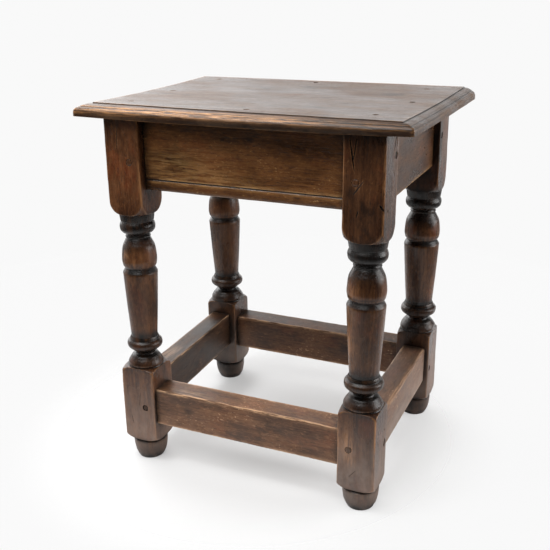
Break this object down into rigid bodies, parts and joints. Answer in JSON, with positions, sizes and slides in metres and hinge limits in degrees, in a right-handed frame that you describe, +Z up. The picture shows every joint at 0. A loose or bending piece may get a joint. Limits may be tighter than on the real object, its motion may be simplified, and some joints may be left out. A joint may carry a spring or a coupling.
{
  "type": "joint stool",
  "caption": "Pegged oak stool on turned legs, with plain aprons, low box stretchers and a thumb-moulded seat board.",
  "frame": {"origin": "on the floor, midway between the four feet and under the middle of the seat board", "axes": "+X along the stool's length, towards its right-hand end seen from the front; -Y the front; +Z up"},
  "size_m": [0.48, 0.364, 0.55],
  "materials": {
    "seat_oak": "old wax polish over worn oak",
    "leg_oak": "dark waxed oak, near black in the turned grooves",
    "rail_oak": "dark waxed oak, worn paler on edges",
    "peg_oak": "blackened oak end grain"
  },
  "bodies": {
    "root": {"seat_board": "seat_oak", "leg_front_left": "leg_oak", "leg_front_right": "leg_oak", "leg_back_left": "leg_oak", "leg_back_right": "leg_oak", "apron_front": "rail_oak", "apron_back": "rail_oak", "apron_left": "rail_oak", "apron_right": "rail_oak", "stretcher_front": "rail_oak", "stretcher_back": "rail_oak", "stretcher_left": "rail_oak", "stretcher_right": "rail_oak", "peg_apron_front_left": "peg_oak", "peg_apron_front_right": "peg_oak", "peg_apron_back_left": "peg_oak", "peg_apron_back_right": "peg_oak", "peg_apron_left_front": "peg_oak", "peg_apron_left_back": "peg_oak", "peg_apron_right_front": "peg_oak", "peg_apron_right_back": "peg_oak", "peg_stretcher_front_left": "peg_oak", "peg_stretcher_front_right": "peg_oak", "peg_stretcher_back_left": "peg_oak", "peg_stretcher_back_right": "peg_oak", "peg_stretcher_left_front": "peg_oak", "peg_stretcher_left_back": "peg_oak", "peg_stretcher_right_front": "peg_oak", "peg_stretcher_right_back": "peg_oak", "seat_peg_front_left": "peg_oak", "seat_peg_front_middle": "peg_oak", "seat_peg_front_right": "peg_oak", "seat_peg_right_middle": "peg_oak", "seat_peg_back_right": "peg_oak", "seat_peg_back_middle": "peg_oak", "seat_peg_back_left": "peg_oak", "seat_peg_left_middle": "peg_oak"}
  },
  "joints": []
}
